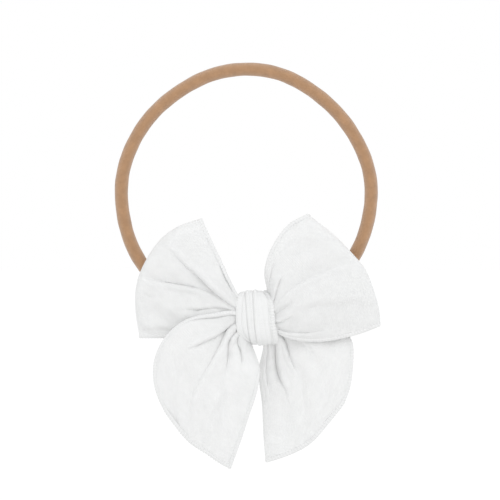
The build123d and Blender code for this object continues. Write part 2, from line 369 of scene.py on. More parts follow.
def loop_strip(low, high, rim, middle_y, folds, puffs, gather, seed, rows=150, cols=130):
    """A loop as one strip of points: out along the front layer, round the soft fold, back behind.

    low and high are its side edges from the knot outwards, rim the fold between them."""
    root = spline([low[0], (low[0] + high[0]) / 2, high[0]], 50)
    quarter = 14
    turn = np.linspace(0, np.pi / 2, quarter + 1)[:-1]
    edge_u = 1 - LOOP_NOSE * (1 - np.sin(turn)) / LOOP_LENGTH
    flat_u = np.linspace(0, edge_u[0], rows - quarter + 1)[:-1]
    u_line = np.concatenate([flat_u, edge_u, [1.0]])
    v_line = np.linspace(0, 1, cols)
    u, v = np.meshgrid(u_line, v_line, indexing="ij")
    inside = np.clip((1 - u) * LOOP_LENGTH / LOOP_NOSE, 0, 1)
    bulge = np.sqrt(np.clip(1 - (1 - inside) ** 2, 0, 1))
    open_out = smoothstep(u / 0.5)
    pinched = ROOT_HALF_DEPTH * np.sqrt(np.maximum(1 - (2 * v - 1) ** 2, 0.03))
    flatter_edge = np.where(v < 0.5, 0.62, 0.3)
    fullness = LOOP_HALF_DEPTH * (1 - flatter_edge * np.abs(2 * v - 1) ** 3)
    half = bulge * (pinched + (fullness - pinched) * open_out)
    layers = []
    from_fold = (1 - u) * LOOP_LENGTH
    for sign, layer_folds, layer_seed in ((-1, folds, seed), (1, LOOP_BACK_FOLDS, seed + 50)):
        xz = coons(low, high, root, rim, u, v)
        if sign > 0:
            pinch = BACK_LAYER_INSET * (1 - smoothstep((u - 0.75) / 0.25)) * np.sin(0.9 * np.pi * u)
            centre = coons(low, high, root, rim, u, np.full_like(v, 0.5))
            xz = xz + (centre - xz) * pinch[..., None]
        sink, shift, across = relief(xz, u, v, layer_folds, puffs, gather, layer_seed)
        sink = sink * smoothstep(from_fold / 3.0)
        y = middle_y(u, v) + sign * (half - sink)
        xz = xz + across * (shift * smoothstep(from_fold / 4.0))[..., None]
        layers.append(np.stack([xz[..., 0], y, xz[..., 1]], -1))
    front, back = layers
    return np.concatenate([front, back[::-1][1:]], 0)


def strip_uv(strip):
    """Distances along and across a strip of cloth, in millimetres."""
    run = np.linalg.norm(np.diff(strip[:, strip.shape[1] // 2], axis=0), axis=-1)
    run = np.concatenate([[0.0], np.cumsum(run)])
    wide = np.linalg.norm(np.diff(strip[len(strip) // 3], axis=0), axis=-1)
    wide = np.concatenate([[0.0], np.cumsum(wide)])
    return np.stack(np.meshgrid(run, wide, indexing="ij"), -1)


def edge_of(strip, which):
    """The low or high edge of a strip and the direction into the cloth there."""
    if which == "low":
        return strip[:, 0], strip[:, 2] - strip[:, 0]
    return strip[:, -1], strip[:, -3] - strip[:, -1]


# Half width and half thickness of the roll, how far it stands out past the cloth, and its stitches.
HEM_WIDE = 0.85
HEM_THICK = 0.40
HEM_OVERHANG = 0.25
HEM_BITE = 0.055
STITCH_PITCH = 1.25
STITCH_THREAD = 0.09
ROLL_STEPS = 8
THREAD_STEPS = 12


def hem_line(path, inward, per_stitch, round_off):
    """The hem's edge, evenly stepped, with unit vectors into the cloth and out of it.

    round_off is the number of smoothing passes that soften the corners."""
    run = np.linalg.norm(np.diff(path, axis=0), axis=1).sum()
    count = int(run / STITCH_PITCH) * per_stitch
    fine = even(path, count)
    where = np.linspace(0, 1, len(inward))
    towards = np.stack([np.interp(np.linspace(0, 1, count), where, inward[:, k]) for k in range(3)], 1)
    for _ in range(round_off):
        fine[1:-1] = (fine[:-2] + 2 * fine[1:-1] + fine[2:]) / 4
        towards[1:-1] = (towards[:-2] + 2 * towards[1:-1] + towards[2:]) / 4
    side, up = frames_from(fine, towards)
    return fine, side, up


def hem(name, path, inward, wide=HEM_WIDE, thick=HEM_THICK, bite=HEM_BITE, round_off=0):
    """A rolled hem: a flattened roll of cloth along an edge, nipped by its overlock thread.

    bite is how deeply the thread nips the roll."""
    inward = normalised(inward)
    fine, side, up = hem_line(path, inward, ROLL_STEPS, round_off)
    beat = 2 * np.pi * np.arange(len(fine)) / ROLL_STEPS
    nip = 1 - bite * np.cos(beat)
    middle = fine + side * (wide - HEM_OVERHANG)
    roll = sweep(name + "_roll", middle, side, up, wide * nip, thick * nip, ring=14)
    fine, side, up = hem_line(path, inward, THREAD_STEPS, round_off)
    beat = 2 * np.pi * np.arange(len(fine)) / THREAD_STEPS
    coil = fine + side * (wide - HEM_OVERHANG + (wide + 0.04) * np.cos(beat))[:, None]
    coil = coil + up * ((thick + 0.02) * np.sin(beat))[:, None]
    ahead = tangents(coil)
    across = normalised(np.cross(ahead, side + 2 * up))
    off = np.cross(ahead, across)
    stitches = sweep(name + "_thread", coil, across, off, STITCH_THREAD, STITCH_THREAD, ring=6)
    return join(name, [roll, stitches])


# ---------------------------------------------------------------- materials

def node(tree, kind, **inputs):
    made = tree.nodes.new(kind)
    for key, value in inputs.items():
        made.inputs[key.replace("_", " ")].default_value = value
    return made


def math_node(tree, operation, first, second):
    """A math node; each input is a number or another node's output."""
    made = tree.nodes.new("ShaderNodeMath")
    made.operation = operation
    for place, value in zip(made.inputs, (first, second)):
        if isinstance(value, float):
            place.default_value = value
        else:
            tree.links.new(value, place)
    return made.outputs[0]


def noise(tree, vector, **inputs):
    made = node(tree, "ShaderNodeTexNoise", **inputs)
    tree.links.new(vector, made.inputs["Vector"])
    return made.outputs["Fac"]


def blend_shaders(tree, share, first, second, target):
    """Mix two shaders by a number or another node's output and send them to the target."""
    mix = tree.nodes.new("ShaderNodeMixShader")
    if isinstance(share, float):
        mix.inputs[0].default_value = share
    else:
        tree.links.new(share, mix.inputs[0])
    tree.links.new(first, mix.inputs[1])
    tree.links.new(second, mix.inputs[2])
    tree.links.new(mix.outputs[0], tree.nodes[target].inputs["Surface"])


def weave_material(name, colour, pitch_along, pitch_across, bump, sheen, spread=0.05, glow=0.0):
    """Woven cloth: two crossed sets of threads in the UV map, slubs, slight colour drift.

    pitch_along and pitch_across are the threads' spacing in millimetres, spread is how far the colour
    drifts darker, and glow is the share of light that comes through from behind."""
    mat = bpy.data.materials.new(name)
    mat.use_nodes = True
    tree = mat.node_tree
    link = tree.links.new
    shader = tree.nodes["Principled BSDF"]
    shader.inputs["Roughness"].default_value = 0.92
    shader.inputs["Sheen Weight"].default_value = sheen
    shader.inputs["Sheen Roughness"].default_value = 0.6
    shader.inputs["Specular IOR Level"].default_value = 0.15
    uv = tree.nodes.new("ShaderNodeTexCoord").outputs["UV"]
    split = tree.nodes.new("ShaderNodeSeparateXYZ")
    link(uv, split.inputs[0])
    slub = math_node(tree, "MULTIPLY", noise(tree, uv, Scale=2.2, Detail=3.0, Roughness=0.6), 1.6)
    threads = []
    for axis, pitch in (("X", pitch_along), ("Y", pitch_across)):
        phase = math_node(tree, "MULTIPLY", split.outputs[axis], 2 * math.pi / pitch)
        threads.append(math_node(tree, "SINE", math_node(tree, "ADD", slub, phase), 0.0))
    weave = node(tree, "ShaderNodeBump", Strength=bump, Distance=0.0001)
    link(math_node(tree, "ADD", *threads), weave.inputs["Height"])
    link(weave.outputs["Normal"], shader.inputs["Normal"])
    ramp = tree.nodes.new("ShaderNodeValToRGB")
    dark, light = ramp.color_ramp.elements
    dark.position = 0.3
    light.position = 0.7
    dark.color = [c * (1 - spread) for c in colour] + [1]
    light.color = list(colour) + [1]
    link(noise(tree, uv, Scale=0.25, Detail=6.0, Roughness=0.7), ramp.inputs["Fac"])
    link(ramp.outputs["Color"], shader.inputs["Base Color"])
    if glow > 0:
        through = tree.nodes.new("ShaderNodeBsdfTranslucent")
        link(ramp.outputs["Color"], through.inputs["Color"])
        link(weave.outputs["Normal"], through.inputs["Normal"])
        blend_shaders(tree, glow, shader.outputs[0], through.outputs[0], "Material Output")
    return mat


COTTON = weave_material("cotton_cloth", (0.94, 0.941, 0.936), 0.8, 0.55, 0.25, 0.1, glow=0.25)
# The tails' cotton is the loops' cotton painted darker, with a little less light let through. This is
# painted shade that evens the more brightly lit tails with the loops.
TAIL_CLOTH = weave_material("cotton_tails_painted_darker", (0.908, 0.909, 0.904), 0.8, 0.55, 0.25, 0.1, glow=0.2)
HEM_CLOTH = weave_material("cotton_hem", (0.80, 0.802, 0.797), 1.25, 0.5, 0.3, 0.05)
WRAP_CLOTH = weave_material("cotton_layers", (0.85, 0.852, 0.847), 0.8, 0.55, 0.25, 0.1, glow=0.06)
THREAD = weave_material("white_thread", (0.81, 0.812, 0.807), 0.35, 0.3, 0.5, 0.1)
NYLON = weave_material("tan_nylon", (0.489, 0.2745, 0.1385), 0.55, 0.45, 0.6, 0.5, spread=0.22)
TAN_THREAD = weave_material("tan_thread", (0.42, 0.26, 0.16), 0.35, 0.3, 0.5, 0.2)


def dress(obj, material, slot, *nodes):
    """Give a piece its material and hide the CAD pieces that it stands for; slot is not used."""
    obj.data.materials.clear()
    obj.data.materials.append(material)
    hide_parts(*nodes)


# ---------------------------------------------------------------- band

# The band runs level for this far each side of the knot's middle, then eases into the ring.
BAND_LEVEL = 8.5
BAND_EASE = 14.0


def band():
    """The nylon ring, one soft tube that passes through the knot."""
    low, high = box_mm("nylon_band_lower")
    top = box_mm("nylon_band_upper")[1]
    tube = (high[1] - low[1]) / 2
    axis_y = (high[1] + low[1]) / 2
    centre_x = (low[0] + high[0]) / 2
    radius = (high[0] - low[0]) / 2 - tube
    raised = 0.65
    centre_z = top[2] - tube - radius + raised
    count = 1500
    turn = np.linspace(0, 2 * np.pi, count, endpoint=False)
    shoulders = -0.5 * (1 - np.cos(4 * turn)) * (np.sin(turn) > 0)
    uneven = 0.15 * np.sin(5 * turn + 1.0) + 0.06 * np.sin(11 * turn)
    x = centre_x + (radius + shoulders + uneven) * np.cos(turn)
    z = centre_z + (radius + shoulders + uneven) * np.sin(turn)
    level = low[2] + tube
    in_knot = (1 - smoothstep((np.abs(x) - BAND_LEVEL) / BAND_EASE)) * (np.sin(turn) < 0)
    path = np.stack([x, np.full(count, axis_y), z + (level - z) * in_knot], 1)
    side = np.stack([np.cos(turn), np.zeros(count), np.sin(turn)], 1)
    up = np.tile([0.0, 1.0, 0.0], (count, 1))
    lumps = 0.012 * np.sin(23 * turn) + 0.010 * np.sin(41 * turn + 2)
    ribs = 0.006 * np.cos(np.pi * np.arange(count))
    section = 1.04 * tube * (1 + lumps + ribs)
    obj = sweep("nylon_band", path, side, up, section, section, ring=40, closed=True)
    dress(obj, NYLON, "tan_nylon", "nylon_band_lower", "nylon_band_upper")
    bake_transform(obj)


# ---------------------------------------------------------------- loops

# Each fold: its course as (u, v, strength), depth, crisp width, gentle width, side that laps over.
LEFT_LOOP_FOLDS = [
    ([(0, 0.66, 0), (0.12, 0.67, 0.3), (0.25, 0.672, 0.7), (0.36, 0.68, 1), (0.5, 0.69, 0.85),
      (0.7, 0.68, 0.5), (0.86, 0.68, 0.2), (1, 0.67, 0.2)], 2.1, 0.7, 4.5, 1),
    ([(0.3, 0.63, 0), (0.45, 0.57, 0.5), (0.58, 0.51, 1), (0.7, 0.47, 0.8), (0.85, 0.43, 0.5),
      (1, 0.41, 0.2)], 1.6, 0.55, 3.5, -1),
    ([(0, 0.55, 0), (0.12, 0.53, 0.1), (0.31, 0.41, 0.6), (0.43, 0.33, 1), (0.6, 0.27, 0)],
     0.9, 0.7, 2.2, 1),
    ([(0.1, 0.95, 0), (0.2, 0.955, 1), (0.34, 0.955, 0.9), (0.5, 0.96, 0.2), (0.9, 0.965, 0.1)],
     1.1, 0.45, 1.2, 1),
    ([(0.5, 0.075, 0), (0.7, 0.07, 0.7), (0.95, 0.06, 0.6), (1, 0.06, 0.3)], 0.7, 0.8, 1.8, 1),
    ([(0.8, 0.31, 0), (0.88, 0.31, 1), (0.96, 0.31, 0)], 0.6, 0.8, 1.2, 1),
]
RIGHT_LOOP_FOLDS = [
    ([(0, 0.75, 0.3), (0.14, 0.75, 1), (0.28, 0.755, 0.7), (0.43, 0.77, 0)], 2.2, 0.6, 1.2, 1),
    ([(0.1, 0.9, 0.3), (0.3, 0.9, 0.7), (0.5, 0.92, 0.2), (0.7, 0.93, 0)], 0.9, 0.6, 1.2, 1),
    ([(0.1, 0.62, 0.2), (0.38, 0.605, 0.7), (0.6, 0.57, 1), (0.75, 0.54, 0.8), (0.95, 0.53, 0.3)],
     0.7, 0.7, 2.6, -1),
    ([(0, 0.27, 0.2), (0.11, 0.3, 1), (0.22, 0.33, 0.6), (0.3, 0.34, 0)], 1.0, 0.45, 1.2, 1),
    ([(0, 0.47, 0.3), (0.15, 0.48, 0.9), (0.3, 0.48, 1), (0.45, 0.5, 0)], 1.1, 2.0, 3.0, 1),
    ([(0, 0.13, 0.2), (0.09, 0.1, 0.9), (0.27, 0.095, 0.6), (0.48, 0.1, 0.25), (0.75, 0.1, 0)],
     1.3, 0.55, 2.0, -1),
    ([(0.3, 0.38, 0), (0.5, 0.34, 0.8), (0.7, 0.26, 1), (0.9, 0.2, 0.3)], 0.9, 2.2, 3.5, 1),
]
LOOP_BACK_FOLDS = [
    ([(0, 0.3, 0.8), (0.2, 0.31, 1), (0.6, 0.34, 0.5), (0.9, 0.35, 0)], 1.8, 0.7, 3.0, 1),
    ([(0, 0.7, 0.8), (0.2, 0.69, 1), (0.5, 0.66, 0.5), (0.8, 0.66, 0)], 1.7, 0.7, 3.0, -1),
    ([(0, 0.5, 0.9), (0.15, 0.5, 1), (0.4, 0.52, 0)], 1.4, 0.6, 2.0, 1),
]


def root_depth(u, v, front_v, below, above):
    """How far the pinched root lies behind the middle of the loop.

    It is foremost at front_v; below and above say how fast it drops back towards the two edges."""
    drop = np.where(v < front_v, below, above) * (v - front_v) ** 2
    return (0.2 + drop) * (1 - smoothstep(u / 0.35))


def bend_loop(obj):
    """Bake the piece's placement into its mesh."""
    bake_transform(obj)


def loop(side, strip):
    """The cloth of one loop and the hems on its two open edges."""
    name = side + "_loop"
    sheet = thicken(surface(name + "_cloth", strip, strip_uv(strip)), CLOTH_THICK)
    dress(sheet, COTTON, "white_cotton", name)
    bend_loop(sheet)
    for edge, node_name in (("high", name + "_top_hem"), ("low", name + "_bottom_hem")):
        path, inward = edge_of(strip, edge)
        obj = hem(node_name + "_roll", path[4:-4], inward[4:-4])
        dress(obj, HEM_CLOTH, "white_hem", node_name)
        bend_loop(obj)


def left_loop():
    node_name = "left_loop"
    low = spline(in_box(node_name, [(1.12, 0.06), (0.744, 0.02), (0.3, 0.0), (0.036, 0.0)]))
    high = spline(in_box(node_name, [(1.12, 0.27), (1.04, 0.38), (0.91, 0.596), (0.785, 0.809),
                                     (0.675, 1.0)]))
    rim = spline(in_box(node_name, [(0.036, 0.0), (-0.01, 0.24), (0.02, 0.504), (0.107, 0.66),
                                    (0.24, 0.815), (0.42, 0.93), (0.675, 1.0)]))
    box = box_mm(node_name)
    mid = (box[0][1] + box[1][1]) / 2

    def middle(u, v):
        sway = 0.5 * np.sin(2 * np.pi * v) * u
        low_edge_back = 1.2 * u * (1 - v) ** 3
        return mid + root_depth(u, v, 0.68, 8.0, 22.0) + sway + low_edge_back

    puffs = [(0.84, 0.12, 0.7), (0.22, 0.14, 0.6)]
    loop("left", loop_strip(low, high, rim, middle, LEFT_LOOP_FOLDS, puffs, (6, 0.6, 6.0), 11))


def right_loop():
    node_name = "right_loop"
    low = spline(in_box(node_name, [(0.033, 0.095), (0.102, 0.054), (0.17, 0.026), (0.299, 0.0),
                                    (0.43, -0.009), (0.644, 0.015), (0.844, 0.062), (1.0, 0.116)]))
    high = spline(in_box(node_name, [(-0.04, 0.30), (0.006, 0.40), (-0.012, 0.482), (-0.002, 0.62),
                                     (0.028, 0.70), (0.094, 0.809), (0.214, 0.932), (0.362, 1.0)]))
    rim = spline(in_box(node_name, [(1.0, 0.116), (1.0, 0.16), (0.973, 0.31), (0.929, 0.435),
                                    (0.869, 0.559), (0.757, 0.685), (0.636, 0.80), (0.47, 0.925),
                                    (0.362, 1.0)]))
    box = box_mm(node_name)
    mid = (box[0][1] + box[1][1]) / 2

    def middle(u, v):
        sway = -0.4 * np.sin(2 * np.pi * v) * u
        low_edge_back = 2.4 * smoothstep(u / 0.5) * (1 - v) ** 3
        return mid + root_depth(u, v, 0.5, 4.5, 20.0) + sway + low_edge_back

    puffs = [(0.72, 0.13, 0.7), (0.38, 0.12, 0.8)]
    loop("right", loop_strip(low, high, rim, middle, RIGHT_LOOP_FOLDS, puffs, (6, 0.4, 6.0), 31))


# ---------------------------------------------------------------- tails

LEFT_TAIL_FOLDS = [
    ([(0, 0.76, 0), (0.08, 0.7, 0.4), (0.19, 0.64, 1), (0.31, 0.56, 0.6), (0.45, 0.52, 0.36),
      (0.74, 0.55, 0.25), (0.86, 0.56, 0)], 2.8, 0.85, 4.6, -1),
    ([(0.08, 0.72, 0.2), (0.2, 0.7, 0.5), (0.3, 0.7, 1), (0.4, 0.73, 0.7), (0.48, 0.77, 0)],
     1.8, 0.6, 3.0, 1),
    ([(0, 0.57, 0.2), (0.12, 0.535, 0.6), (0.21, 0.52, 1), (0.29, 0.45, 0.8), (0.38, 0.38, 0.3),
      (0.5, 0.34, 0)], 2.1, 0.55, 2.0, -1),
    ([(0, 0.49, 0.5), (0.15, 0.46, 0.6), (0.21, 0.38, 1), (0.26, 0.28, 0.7), (0.32, 0.24, 0)],
     1.5, 0.45, 1.6, -1),
    ([(0.02, 0.9, 0.3), (0.19, 0.945, 1), (0.3, 0.965, 0.7), (0.48, 0.97, 0)], 1.2, 0.4, 1.8, 1),
    ([(0.45, 0.3, 0), (0.62, 0.28, 1), (0.8, 0.34, 0)], 0.7, 1.4, 2.5, 1),
    ([(0.5, 0.9, 0), (0.62, 0.78, 1), (0.72, 0.7, 0)], 0.6, 1.2, 2.5, 1),
]
RIGHT_TAIL_FOLDS = [
    ([(0, 0.56, 0.6), (0.12, 0.47, 0.8), (0.26, 0.34, 0.9), (0.37, 0.275, 1), (0.45, 0.245, 0.6),
      (0.53, 0.24, 0.2), (0.68, 0.26, 0)], 3.0, 0.7, 2.6, 1),
    ([(0, 0.68, 0.7), (0.18, 0.56, 1), (0.28, 0.475, 0.9), (0.39, 0.42, 0.45), (0.5, 0.40, 0)],
     2.1, 0.55, 1.8, -1),
    ([(0.08, 0.16, 0.6), (0.23, 0.11, 1), (0.38, 0.08, 0.9), (0.55, 0.08, 0)], 1.0, 0.6, 1.8, -1),
    ([(0.15, 0.78, 0.6), (0.3, 0.72, 1), (0.5, 0.6, 0.3), (0.6, 0.5, 0)], 0.8, 1.4, 3.0, 1),
    ([(0.5, 0.42, 0), (0.65, 0.4, 1), (0.8, 0.42, 0)], 0.6, 1.2, 2.2, -1),
]


def tail_strip(low, high, rim, drape, folds, puffs, gather, seed, rows=170, cols=140):
    """A hanging tail: u runs from the knot to the slanted cut end, v from the inner to the outer edge.

    drape gives the depth of the cloth before its folds are pressed in."""
    root = spline([low[0], (low[0] + high[0]) / 2, high[0]], 50)
    u, v = np.meshgrid(np.linspace(0, 1, rows), np.linspace(0, 1, cols), indexing="ij")
    xz = coons(low, high, root, rim, u, v)
    sink, shift, across = relief(xz, u, v, folds, puffs, gather, seed)
    calm = smoothstep(v / 0.06) * smoothstep((1 - v) / 0.06) * smoothstep((1 - u) / 0.04)
    corner = 1 - np.exp(-((1 - u) ** 2 + (1 - v) ** 2) / 0.05)
    y = drape(u, v, xz) + sink * (0.35 + 0.65 * calm) * corner
    xz = xz + across * (shift * calm)[..., None]
    return np.stack([xz[..., 0], y, xz[..., 1]], -1)


def bend_tail(obj):
    """Bake the piece's placement into its mesh."""
    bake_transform(obj)


def towards_middle(strip, path):
    """Directions from an edge into the cloth; they stay steady round the rounded corners."""
    return strip[int(0.55 * strip.shape[0]), strip.shape[1] // 2] - path


def tail(side, strip):
    """The cloth of one tail, its inner hem, and the hem round its outer edge and slanted end."""
    name = side + "_tail"
    sheet = thicken(surface(name + "_cloth", strip, strip_uv(strip)), CLOTH_THICK)
    dress(sheet, TAIL_CLOTH, "white_cotton", name)
    bend_tail(sheet)
    path = strip[:, 0]
    obj = hem(name + "_inner_hem_roll", path[3:], towards_middle(strip, path[3:]))
    dress(obj, HEM_CLOTH, "white_hem", name + "_inner_hem")
    bend_tail(obj)
    path = np.concatenate([strip[6:-1, -1], strip[-1, ::-1]], 0)
    obj = hem(name + "_outer_hem_roll", path, towards_middle(strip, path), round_off=40)
    dress(obj, HEM_CLOTH, "white_hem", name + "_outer_hem")
    bend_tail(obj)


# Outlines of the tails as fractions of their boxes, from the knot down; the cut runs outwards.
LEFT_TAIL_INNER = [(0.93, 0.81), (0.95, 0.76), (0.993, 0.69), (1.019, 0.62), (1.012, 0.54),
                   (0.982, 0.45), (0.925, 0.34), (0.87, 0.23), (0.744, 0.0)]
LEFT_TAIL_OUTER = [(0.88, 0.945), (0.79, 0.972), (0.60, 0.963), (0.455, 0.948), (0.335, 0.925),
                   (0.17, 0.845), (0.048, 0.717), (0.018, 0.57), (0.066, 0.435), (0.14, 0.338)]
LEFT_TAIL_CUT = [(0.744, 0.0), (0.62, 0.044), (0.51, 0.093), (0.39, 0.143), (0.25, 0.24), (0.14, 0.338)]
RIGHT_TAIL_INNER = [(0.02, 1.03), (0.045, 0.95), (0.01, 0.80), (0.0, 0.68), (0.03, 0.49),
                    (0.045, 0.26), (0.072, 0.0)]
RIGHT_TAIL_OUTER = [(0.12, 1.12), (0.30, 1.10), (0.60, 1.08), (0.85, 1.07), (0.965, 0.99),
                    (0.99, 0.86), (0.975, 0.70), (0.945, 0.58), (0.88, 0.458)]
RIGHT_TAIL_CUT = [(0.072, 0.0), (0.145, 0.015), (0.38, 0.08), (0.52, 0.14), (0.68, 0.268), (0.88, 0.458)]
# The share of a tail's width over which its inner edge bends away, and the tuck's length in rows.
INNER_EDGE_WIDE = 0.3
TUCK_ROWS = 34
# The height at which each tail starts to leave its upright hang, and how much further down its tip is.
LEFT_FALL_TOP = -8.0
LEFT_FALL_LONG = 56.0
RIGHT_FALL_TOP = -14.0
RIGHT_FALL_LONG = 48.0


def left_tail():
    """The front tail: its root comes forward over the left loop, then it falls back."""
    node_name = "left_tail"
    low = spline(in_box(node_name, LEFT_TAIL_INNER))
    high = spline(in_box(node_name, LEFT_TAIL_OUTER))
    rim = spline(in_box(node_name, LEFT_TAIL_CUT))
    front = joint_mm("left_tail_flop")[1]
    tip = box_mm(node_name)[1][1]
    wrap_front = box_mm("centre_wrap")[0][1]

    def drape(u, v, xz):
        fall = np.clip((LEFT_FALL_TOP - xz[..., 1]) / LEFT_FALL_LONG, 0, 1)
        wave = 0.9 * np.cos(2 * np.pi * (v - 0.45)) * smoothstep(u / 0.5)
        inner_forward = 0.65 * (1 - smoothstep(v / INNER_EDGE_WIDE))
        y = front + (tip - front) * (fall**1.6 + smoothstep(fall / 0.85)) / 2 + wave - inner_forward
        start = smoothstep((u - 0.05 * (1 - v)) / (0.30 + 0.17 * v))
        root_y = wrap_front + 5.2 - 4.1 * smoothstep(v / 0.8)
        return root_y * (1 - start) + y * start

    puffs = [(0.75, 0.16, 0.7), (0.25, 0.14, 0.5)]
    strip = tail_strip(low, high, rim, drape, LEFT_TAIL_FOLDS, puffs, (7, 0.6, 7.0), 51)
    tail("left", strip)
    left_tail_tuck(strip[:TUCK_ROWS])


def left_tail_tuck(root_cloth):
    """A tuck of cloth just behind the left tail's root, which joins it to the knot."""
    tuck = root_cloth + np.array([0, 0.55, 0])
    obj = thicken(surface("left_tail_tuck", tuck, strip_uv(tuck)), TUCK_THICK)
    dress(obj, TAIL_CLOTH, "white_cotton", "left_tail")
    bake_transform(obj)


def right_tail():
    """The back tail: it leaves the knot behind the right loop and falls a little further back."""
    node_name = "right_tail"
    low = spline(in_box(node_name, RIGHT_TAIL_INNER))
    high = spline(in_box(node_name, RIGHT_TAIL_OUTER))
    rim = spline(in_box(node_name, RIGHT_TAIL_CUT))
    low_corner, high_corner = box_mm(node_name)
    front = low_corner[1] + 0.38 * (high_corner[1] - low_corner[1])
    tip = low_corner[1] + 1.0
    root_y = low_corner[1] - 1.0

    def drape(u, v, xz):
        fall = np.clip((RIGHT_FALL_TOP - xz[..., 1]) / RIGHT_FALL_LONG, 0, 1)
        inner = 1 - smoothstep(v / INNER_EDGE_WIDE)
        inner_back = 0.7 * inner
        outer_forward = 1.6 * smoothstep((v - 0.1) / 0.3)
        wave = 0.8 * np.cos(2 * np.pi * (v - 0.4)) * smoothstep(u / 0.5) * (1 - inner)
        y = front + (tip - front) * (fall**1.4 + smoothstep(fall / 0.85)) / 2
        y = y + (inner_back - outer_forward) * (1 - fall) + wave
        start = smoothstep(u / (0.22 + 0.12 * v))
        return (root_y - 1.6 * v) * (1 - start) + y * start

    puffs = [(0.65, 0.2, 0.8)]
    tail("right", tail_strip(low, high, rim, drape, RIGHT_TAIL_FOLDS, puffs, (6, 0.6, 7.0), 71))


# ---------------------------------------------------------------- knot

# The wrap's side edges at eight even turns, from the front middle over the top and round the back,
# as x over half the wrap's height.
WRAP_LEFT = [-0.77, -0.72, -0.62, -0.60, -0.62, -0.60, -0.30, -0.58]
WRAP_RIGHT = [0.64, 0.56, 0.42, 0.55, 0.62, 0.66, 0.74, 0.74]
# Each pleat: its place at the top, middle and bottom over half the height, depth, width, lean.
WRAP_PLEATS = (
    ((-0.13, -0.085, 0.04), 1.4, 0.38, 1),
    ((-0.43, -0.35, -0.20), 1.2, 0.38, 1),
    ((-0.31, -0.22, -0.12), 0.14, 0.3, -1),
    ((0.06, 0.22, 0.4), 0.2, 0.6, -1),
)
# Half width of the right hem's roll, and the wrap's length round the knot and its width for the weave.
WRAP_HEM_WIDE = 1.1
WRAP_ROUND = 62.0
WRAP_ACROSS = 15.0


def rounded(c, power):
    """A cosine or sine pushed outwards or inwards, which makes a circle squarer or slimmer."""
    return np.sign(c) * np.abs(c) ** power


def wrap_point(turn, across):
    """A point of the centre wrap: turn goes round the knot, across from its left to its right edge."""
    low, high = box_mm("centre_wrap")
    half_h = (high[2] - low[2]) / 2
    half_d = (high[1] - low[1]) / 2
    mid_y = (high[1] + low[1]) / 2
    left = periodic(WRAP_LEFT, turn)
    right = periodic(WRAP_RIGHT, turn)
    angle = 2 * np.pi * turn
    c, s = np.cos(angle), np.sin(angle)
    at_edges = 1 - 0.075 * np.abs(2 * across - 1) ** 3
    y = mid_y - half_d * rounded(c, np.where(c > 0, 0.85, 0.6)) * np.where(c > 0, at_edges, 1.0)
    hug_band = 1 - 0.34 * np.clip(-c, 0, 1) ** 1.5
    z = half_h * rounded(s, 0.8) * at_edges * hug_band
    x = (left + (right - left) * across) * half_h
    return x, y, z


def wrap_surface(rows=220, cols=90):
    """The wrap's pleated cloth as a grid of points; its rows close round the knot."""
    turns = np.linspace(0, 1, rows, endpoint=False)
    turn, across = np.meshgrid(turns, np.linspace(0, 1, cols), indexing="ij")
    pos = np.stack(wrap_point(turn, across), -1)
    along = normalised(np.roll(pos, -1, 0) - np.roll(pos, 1, 0))
    side = normalised(np.gradient(pos, axis=1))
    out = normalised(np.cross(side, along))
    centre = np.array([0, pos[..., 1].mean(), 0])
    out = out * np.sign(((pos - centre) * out).sum(-1, keepdims=True))
    half_height = pos[..., 2].max()
    rise = np.sin(2 * np.pi * turn)
    sink = np.zeros_like(turn)
    pull = np.zeros_like(turn)
    for (top, middle, bottom), depth, w, lean in WRAP_PLEATS:
        line = middle + (top - bottom) / 2 * rise + ((top + bottom) / 2 - middle) * rise**2
        off = lean * (pos[..., 0] - line * half_height)
        groove = np.exp(-np.abs(off / w) ** 1.5)
        ridge = 0.35 * np.exp(-(((off - 1.9 * w) / (1.4 * w)) ** 2))
        sink += depth * (groove - ridge)
        pull += -lean * 0.35 * depth * np.exp(-(((off - w) / (1.1 * w)) ** 2))
    from_edge = np.minimum(across, 1 - across) * np.linalg.norm(pos[:, -1:] - pos[:, :1], axis=-1)
    sink += 0.35 * np.exp(-(((from_edge - 2.1 * WRAP_HEM_WIDE) / 0.3) ** 2))
    wide, run = pos[..., 0], pos[..., 2] + pos[..., 1]
    sink += 0.08 * wrinkles(run, wide, 6.0, 1.6, 91) + 0.03 * wrinkles(run, wide, 2.5, 1.2, 92)
    front = np.clip(-(pos[..., 1] - pos[..., 1].mean()) / 7.0 + 0.6, 0.25, 1)
    return pos - out * (sink * front)[..., None] + side * (pull * front)[..., None]


def centre_wrap():
    """The pleated strip round the knot and the folded hems along its two sides."""
    pos = wrap_surface()
    rows, cols = pos.shape[:2]
    spans = np.linspace(0, WRAP_ROUND, rows + 1), np.linspace(0, WRAP_ACROSS, cols)
    uv = np.stack(np.meshgrid(*spans, indexing="ij"), -1)
    sheet = thicken(surface("centre_wrap_cloth", pos, uv, wrap_u=True), WRAP_THICK)
    dress(sheet, WRAP_CLOTH, "white_cotton", "centre_wrap")
    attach(sheet, "knot")
    closed = np.concatenate([pos, pos[:1]], 0)
    for edge, name, wide, thick, bite in (("low", "wrap_left_hem", 0.5, 0.32, HEM_BITE),
                                          ("high", "wrap_right_hem", WRAP_HEM_WIDE, 0.5, 0.16)):
        path, inward = edge_of(closed, edge)
        obj = hem(name + "_roll", path, inward, wide, thick, bite)
        dress(obj, HEM_CLOTH, "white_hem", name)
        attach(obj, "knot")


WAIST_PLEATS = 17


